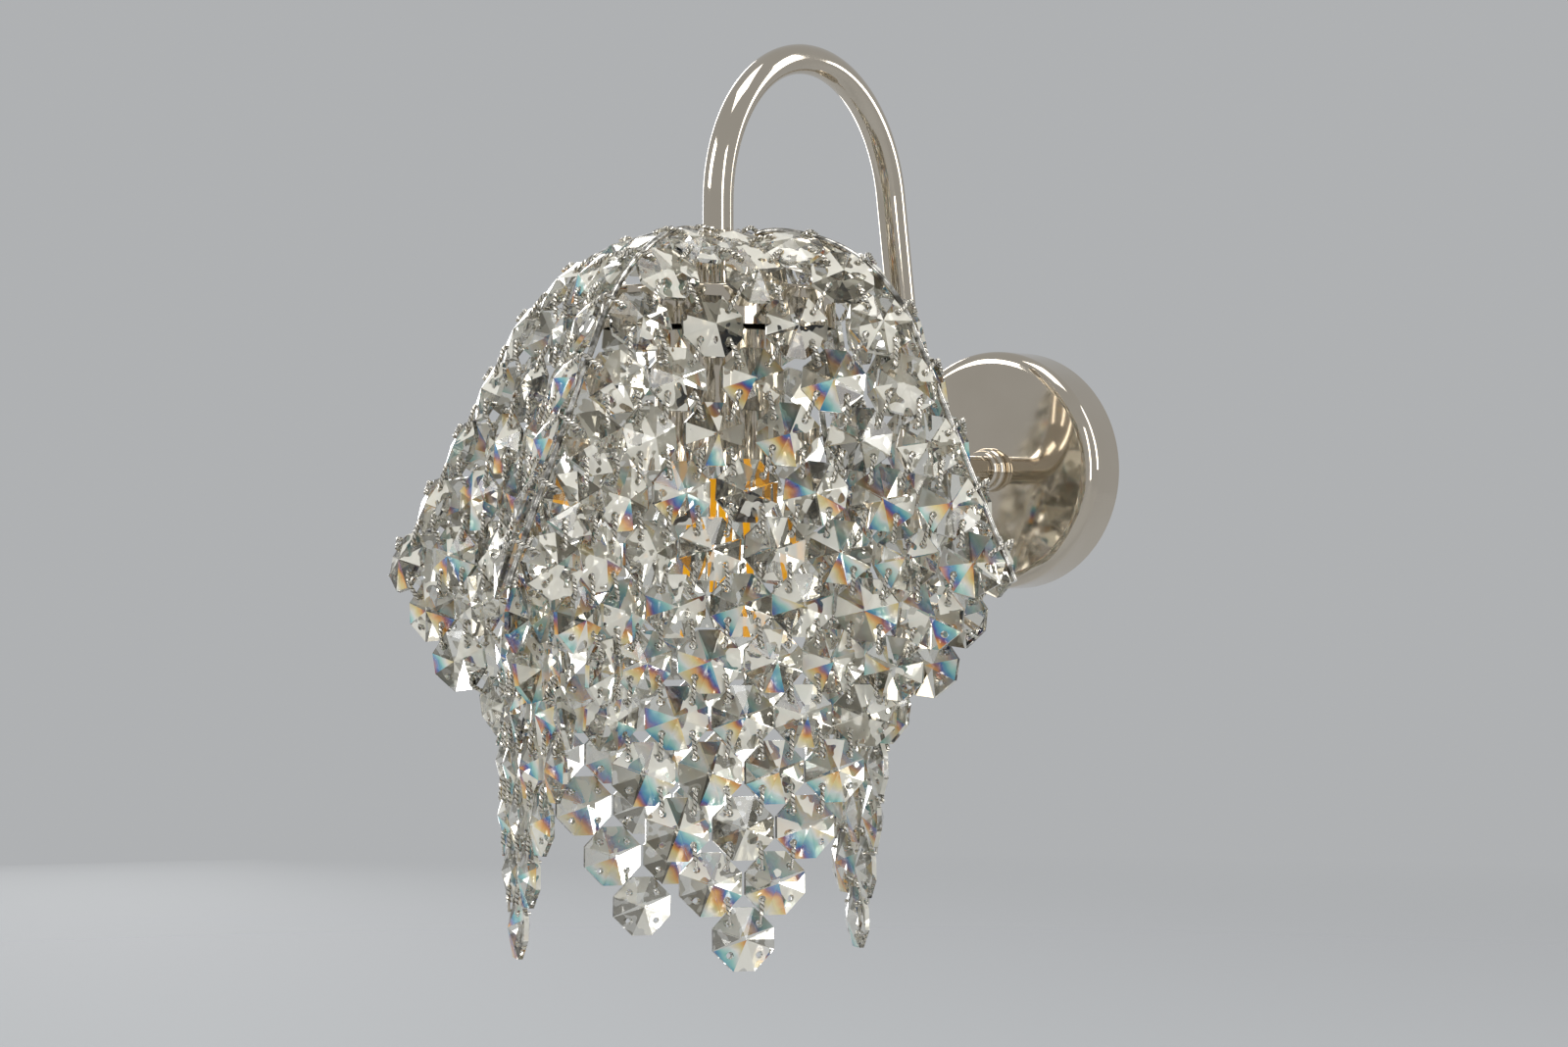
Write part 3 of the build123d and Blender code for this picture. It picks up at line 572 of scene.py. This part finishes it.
@dataclass
class ClipTwist:
    """The second strand that is twisted round the outside of every clip."""

    map_name: ClassVar[str] = "strand"
    half_width: float = 0.00086
    half_depth: float = 0.00050
    swell: float = 1.15
    sides: int = 6
    rings: int = 8
    turns: float = 1.5
    end_room: float = 0.0003
    swing_room: float = 0.0026
    most_room: float = 0.42

    def model(self) -> bpy.types.Mesh:
        """Twists one bar of unit length along +Z.

        Returns:
            Its mesh.
        """
        deselect()
        bpy.ops.mesh.primitive_circle_add(vertices=self.sides, radius=1.0, fill_type="NGON")
        bar = bpy.context.object
        bpy.ops.object.mode_set(mode="EDIT")
        bpy.ops.transform.resize(value=(self.half_width, self.half_depth * self.swell, 1.0))
        for ring in range(self.rings):
            bpy.ops.mesh.extrude_region_move(
                TRANSFORM_OT_translate={"value": (0.0, 0.0, 1.0 / self.rings)}
            )
            bpy.ops.transform.rotate(
                value=self.turns * math.tau / self.rings,
                orient_axis="Z",
                center_override=(0.0, 0.0, 0.0),
            )
        bpy.ops.mesh.select_all(action="SELECT")
        bpy.ops.mesh.normals_make_consistent(inside=False)
        bpy.ops.object.mode_set(mode="OBJECT")
        mesh = bar.data.copy()
        bpy.data.objects.remove(bar)
        self.unwrap(mesh)
        return mesh

    def unwrap(self, mesh: bpy.types.Mesh) -> None:
        """Maps a bar: turns round it across, and its length along."""
        while mesh.uv_layers:
            mesh.uv_layers.remove(mesh.uv_layers[0])
        layer = mesh.uv_layers.new(name=self.map_name)
        for polygon in mesh.polygons:
            spots = [mesh.vertices[i].co for i in polygon.vertices]
            turns = [math.atan2(spot.y, spot.x) / math.tau for spot in spots]
            if max(turns) - min(turns) > 0.5:
                turns = [turn + (turn < 0.0) for turn in turns]
            for loop, turn, spot in zip(polygon.loop_indices, turns, spots):
                layer.data[loop].uv = (turn, spot.z)

    def room(self, spot: Vector, swings: Box | None) -> float:
        """How far the strand stays back from a clip's bend, more where a crystal swings."""
        if swings is None:
            return self.end_room
        low, high = swings
        inside = all(low[n] < spot[n] < high[n] for n in range(3))
        return self.swing_room if inside else self.end_room

    def lay(
        self, pattern: bpy.types.Mesh, start: Vector, end: Vector, swings: Box | None
    ) -> bpy.types.Object:
        """Lays a copy of the bar along one straight of a clip.

        Args:
            pattern: The bar of unit length.
            start: Where the straight begins.
            end: Where it ends.
            swings: The box of the crystals that swing on the clips, if any do.

        Returns:
            The copy.
        """
        along = (end - start).normalized()
        length = (end - start).length
        most = length * self.most_room
        first, last = (min(self.room(spot, swings), most) for spot in (start, end))
        length -= first + last
        turn = along.to_track_quat("Z", "Y").to_matrix().to_4x4()
        size = Matrix.Diagonal((1.0, 1.0, length, 1.0))
        mesh = pattern.copy()
        mesh.transform(Matrix.Translation(start + along * first) @ turn @ size)
        for item in mesh.uv_layers[self.map_name].data:
            item.uv.y *= length * MM_PER_METRE
        piece = bpy.data.objects.new("twist", mesh)
        bpy.context.collection.objects.link(piece)
        return piece

    def wind(
        self,
        node: str,
        body: str,
        material: bpy.types.Material,
        swinging: str | None = None,
    ) -> bpy.types.Object:
        """Winds the strand round every clip of a node.

        Args:
            node: The node with the clips.
            body: The body that it rides on.
            material: The wire's finish.
            swinging: The node of the crystals that swing on its last clips.

        Returns:
            The strands as one piece.
        """
        pattern = self.model()
        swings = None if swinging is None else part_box(swinging)
        pieces = [
            self.lay(pattern, start, end, swings)
            for path in read_paths(node)
            for start, end in path.bars()
        ]
        deselect()
        for piece in pieces:
            piece.select_set(True)
        bpy.context.view_layer.objects.active = pieces[0]
        bpy.ops.object.join()
        whole = bpy.context.object
        whole.name = "twist_" + node
        whole.data.materials.append(material)
        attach(whole, body)
        LOG.info("%s: %d bars", whole.name, len(pieces))
        return whole


@dataclass
class Shade:
    """The net of crystals with its clips and ribs."""

    crystal: CutCrystal
    wire: Metal
    strand: TwistedWire
    rib: Metal

    def build(self) -> None:
        """Dresses the net and winds the clips' second strand."""
        crystal = self.crystal.material()
        wire = self.wire.material()
        strand = self.strand.material()
        rows = ("dome_crystals_", "skirt_crystals_", "drop_crystals_", "tip_crystal_")
        for quarter in Quarter:
            dress(crystal, [row + quarter.value for row in rows])
            dress(wire, [row + quarter.value for row in ("net_clips_", "drop_clips_")])
        dress(wire, ["rib_clips"])
        dress(self.rib.material(), ["frame_ribs"])
        twist = ClipTwist()
        for quarter in Quarter:
            drop, tip = ("drop_crystals_" + quarter.value, "tip_crystal_" + quarter.value)
            twist.wind("net_clips_" + quarter.value, FIXED_BODY, strand, drop)
            twist.wind("drop_clips_" + quarter.value, "drop_" + quarter.value, strand, tip)
        twist.wind("rib_clips", FIXED_BODY, strand)
        LOG.info("shade dressed")


@dataclass
class Hardware:
    """The wall plate, the arm, the drum and what holds them."""

    nickel: Metal
    steel: Metal
    brass: Metal
    plastic: Moulded
    sheath: Moulded

    def build(self) -> None:
        """Dresses the metal and plastic pieces."""
        dress(
            self.nickel.material(),
            ["wall_plate", "arm_tube", "arm_collar", "drum_plate", "holder_cup", "frame_hub"],
        )
        dress(
            self.steel.material(),
            [
                "wall_bracket",
                "plate_grub_screws",
                "plate_nipple",
                "plate_washer",
                "plate_nut",
                "lamp_nipple",
                "lamp_washer",
                "lamp_nut",
                "hub_screw",
            ],
        )
        dress(
            self.brass.material(),
            ["earth_screw", "terminal_sleeves", "holder_screw_shell", "holder_centre_contact"],
        )
        dress(
            self.plastic.material(),
            ["terminal_block", "lampholder_body", "holder_contact_disc"],
        )
        dress(self.sheath.material(), ["inner_cable"])
        LOG.info("hardware dressed")


@dataclass
class Bulb:
    """The screw-in filament bulb."""

    glass: ClearGlass
    cap: Metal
    coating: Moulded
    insulator: Moulded
    support: Metal

    def build(self) -> None:
        """Dresses the bulb."""
        glass = self.glass.material()
        dress(glass, ["bulb_glass", "bulb_stem"])
        dress(self.cap.material(), ["bulb_cap", "bulb_tip"])
        dress(self.coating.material(), ["bulb_filaments"])
        dress(self.insulator.material(), ["bulb_insulator"])
        dress(self.support.material(), ["bulb_support_wires"])
        LOG.info("bulb dressed")


@dataclass(frozen=True)
class Lamp:
    """One soft rectangular lamp."""

    name: str
    place: Triple
    size: tuple[float, float]
    power: float

    def hang(self, aim: Vector) -> None:
        """Hangs the lamp and turns it to a point."""
        light = bpy.data.lights.new(self.name, "AREA")
        light.shape = "RECTANGLE"
        light.size, light.size_y = self.size
        light.energy = self.power
        stand = bpy.data.objects.new(self.name, light)
        bpy.context.collection.objects.link(stand)
        stand.location = self.place
        stand.rotation_euler = (aim - Vector(self.place)).to_track_quat("-Z", "Y").to_euler()


@dataclass
class Studio:
    """A pale floor that fades into a pale backdrop, soft lamps and the photograph's camera."""

    floor_height: float = -0.27
    floor_radius: float = 2.2
    floor_sides: int = 96
    floor_plain: float = 0.4
    floor_gone: float = 0.8
    paper: Colour = (0.42, 0.43, 0.44)
    air: Colour = (0.60, 0.61, 0.62)
    backdrop: Colour = (0.43, 0.44, 0.45)
    axis: Vector = Vector((0.0, -0.184, -0.019))
    azimuth: float = 35.0
    distance: float = 1.305
    side_step: float = 0.0213
    image_width: float = 1600.0
    sensor_width: float = 36.0
    focal_pixels: float = 4111.0
    lamps: tuple[Lamp, ...] = (
        Lamp("key_lamp", (-1.1, -1.5, 0.9), (0.7, 0.9), 13.0),
        Lamp("fill_lamp", (1.7, -0.9, 0.4), (0.35, 1.3), 8.0),
        Lamp("top_lamp", (0.2, -0.3, 1.5), (0.8, 0.8), 6.0),
        Lamp("back_lamp", (-1.3, 0.8, 0.3), (0.35, 1.3), 7.0),
        Lamp("rim_lamp", (1.1, 1.1, 0.6), (0.35, 1.2), 6.0),
    )

    def build(self) -> None:
        """Builds the floor, the lamps, the world and the camera."""
        self.floor()
        for lamp in self.lamps:
            lamp.hang(self.axis)
        self.world()
        self.camera()
        LOG.info("studio: %d lamps", len(self.lamps))

    def floor(self) -> None:
        """Makes a round floor whose edge fades out."""
        deselect()
        bpy.ops.mesh.primitive_circle_add(
            vertices=self.floor_sides,
            radius=self.floor_radius,
            fill_type="NGON",
            location=(0.0, self.axis.y, self.floor_height),
        )
        floor = bpy.context.object
        floor.name = "studio_floor"
        recipe = Recipe("studio_paper")
        paper = recipe.wire(
            "ShaderNodeBsdfPrincipled", None, {"Base Color": self.paper, "Roughness": 0.9}
        )
        gone = recipe.wire("ShaderNodeBsdfTransparent")
        reach = recipe.wire(
            "ShaderNodeVectorMath", {"operation": "LENGTH"}, {0: recipe.place()}, "Value"
        )
        fade_run = self.floor_radius * self.floor_gone - self.floor_plain
        fade = (reach - self.floor_plain) * (1.0 / fade_run)
        under = recipe.wire("ShaderNodeNewGeometry", output="Backfacing")
        share = fade.math("MAXIMUM", under).math("MINIMUM", 1.0)
        mixed = recipe.wire("ShaderNodeMixShader", None, {0: share, 1: paper, 2: gone})
        floor.data.materials.append(recipe.finish(mixed))

    def world(self) -> None:
        """Gives an even light from all round, and a pale backdrop to look at."""
        world = bpy.data.worlds.new("studio_air")
        bpy.context.scene.world = world
        world.use_nodes = True
        tree = world.node_tree
        plain = tree.nodes["Background"]
        plain.inputs["Color"].default_value = (*self.air, 1.0)
        seen = tree.nodes.new("ShaderNodeBackground")
        seen.inputs["Color"].default_value = (*self.backdrop, 1.0)
        rays = tree.nodes.new("ShaderNodeLightPath")
        total = rays.outputs["Is Camera Ray"]
        for kind in ("Is Glossy Ray", "Is Transmission Ray"):
            add = tree.nodes.new("ShaderNodeMath")
            add.operation = "MAXIMUM"
            tree.links.new(total, add.inputs[0])
            tree.links.new(rays.outputs[kind], add.inputs[1])
            total = add.outputs[0]
        mix = tree.nodes.new("ShaderNodeMixShader")
        tree.links.new(total, mix.inputs[0])
        tree.links.new(plain.outputs[0], mix.inputs[1])
        tree.links.new(seen.outputs[0], mix.inputs[2])
        tree.links.new(mix.outputs[0], tree.nodes["World Output"].inputs["Surface"])
        bpy.context.scene.view_settings.view_transform = "Standard"

    def camera(self) -> None:
        """Sets the camera at the photograph's place and angle."""
        turn = math.radians(self.azimuth)
        ahead = Vector((-math.sin(turn), math.cos(turn), 0.0))
        right = Vector((math.cos(turn), math.sin(turn), 0.0))
        lens = bpy.data.cameras.new("camera")
        lens.sensor_width = self.sensor_width
        lens.lens = self.sensor_width * self.focal_pixels / self.image_width
        camera = bpy.data.objects.new("camera", lens)
        bpy.context.collection.objects.link(camera)
        camera.location = self.axis - ahead * self.distance + right * self.side_step
        camera.rotation_euler = ahead.to_track_quat("-Z", "Y").to_euler()
        bpy.context.scene.camera = camera


def main() -> None:
    """Builds everything in order."""
    logging.basicConfig(level=logging.INFO)
    nickel = Metal("polished_nickel", (0.70, 0.63, 0.53), (0.63, 0.56, 0.46), 0.045, 0.03)
    silver = Metal("silver_wire", (0.86, 0.83, 0.76), (0.60, 0.56, 0.49), 0.16, 0.08, 900.0)
    steel = Metal("zinc_steel", (0.66, 0.67, 0.68), (0.50, 0.51, 0.53), 0.30, 0.10, 120.0, 0.2)
    brass = Metal("brass", (0.82, 0.62, 0.30), (0.66, 0.47, 0.20), 0.25, 0.10, 120.0, 0.1)
    cap = Metal("cap_metal", (0.80, 0.78, 0.74), (0.66, 0.64, 0.60), 0.24, 0.10, 160.0, 0.1)
    # The ribs' bright silver with near-black mottle is painted reflection of the crystals around
    # them.
    rib = Metal("painted_reflection_rib_wire", (0.95, 0.92, 0.85), (0.16, 0.15, 0.13), 0.2, 0.0, 260.0, painted_reflection_contrast=4.0)
    Shade(CutCrystal(), silver, TwistedWire(), rib).build()
    Hardware(
        nickel,
        steel,
        brass,
        Moulded("white_plastic", (0.88, 0.87, 0.83), (0.80, 0.79, 0.75)),
        Moulded("cable_sheath", (0.72, 0.72, 0.70), (0.62, 0.62, 0.60), 0.6),
    ).build()
    Bulb(
        ClearGlass("bulb_glass"),
        cap,
        # The filaments get a painted glow, though the bulb is unlit.
        Moulded("filament_coating", (1.0, 0.50, 0.01), (1.0, 0.42, 0.0), 0.5, painted_glow=0.45),
        Moulded("black_glass", (0.03, 0.03, 0.04), (0.02, 0.02, 0.02), 0.1),
        steel,
    ).build()
    Studio().build()


if __name__ == "__main__":
    main()
